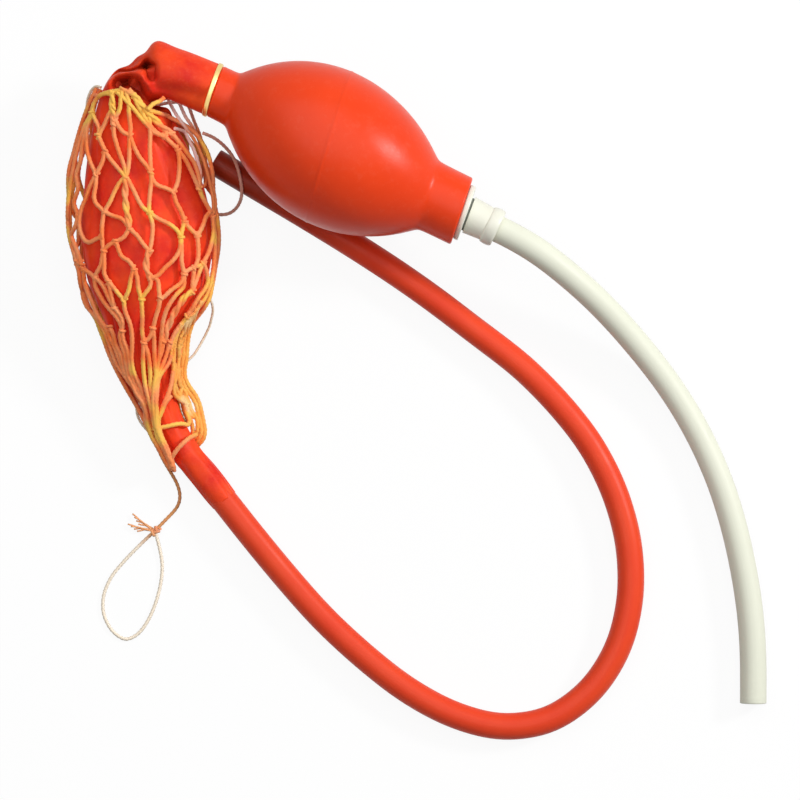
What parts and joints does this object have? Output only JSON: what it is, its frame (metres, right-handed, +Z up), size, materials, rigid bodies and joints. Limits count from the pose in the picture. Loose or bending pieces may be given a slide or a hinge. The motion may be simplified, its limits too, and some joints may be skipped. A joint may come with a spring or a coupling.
{
  "type": "siphon bulb pump",
  "caption": "Rubber hand pump with a squeeze bulb, ball check valves, a netted reservoir bag, a white intake hose and a red discharge hose.",
  "frame": {"origin": "on the surface that the pump lies on, under the middle of the box round the pump and the bag, without the hoses and strings", "axes": "+Z up; +Y from the bag's lower neck towards its mouth; the pump points from the bag's mouth towards +X and -Y, turned 26 degrees"},
  "size_m": [0.2466, 0.2444, 0.054],
  "materials": {
    "bulb_rubber": "satin moulded rubber",
    "bag_rubber": "soft matte rubber",
    "hose_rubber": "satin extruded rubber",
    "white_rubber": "satin extruded rubber",
    "dark_rubber": "matte",
    "white_plastic": "moulded, slightly glossy",
    "brass": "turned, bright",
    "ball_steel": "polished",
    "orange_twine": "twisted twine",
    "pale_twine": "twisted twine"
  },
  "bodies": {
    "pump": {"pump_bulb": "bulb_rubber", "outlet_valve_body": "brass", "outlet_ball_cage": "brass", "inlet_valve_body": "white_plastic", "inlet_ball_cage": "white_plastic", "adapter_washer": "dark_rubber", "hose_adapter": "white_plastic", "intake_hose": "white_rubber", "reservoir_bag": "bag_rubber", "hose_connector": "brass", "discharge_hose": "hose_rubber", "reservoir_net": "orange_twine", "net_mouth_cord": "orange_twine", "net_gather_cord": "orange_twine", "drawstring": "pale_twine", "drawstring_knot": "orange_twine", "loose_thread": "pale_twine"},
    "outlet_ball": {"outlet_valve_ball": "ball_steel"},
    "inlet_ball": {"inlet_valve_ball": "ball_steel"}
  },
  "joints": [
    {"name": "outlet_ball_lift", "type": "slide", "parent": "pump", "child": "outlet_ball", "axis": [-0.8988, 0.4384, 0], "range_m": [0, 0.002]},
    {"name": "inlet_ball_lift", "type": "slide", "parent": "pump", "child": "inlet_ball", "axis": [-0.8988, 0.4384, 0], "range_m": [0, 0.002]}
  ]
}
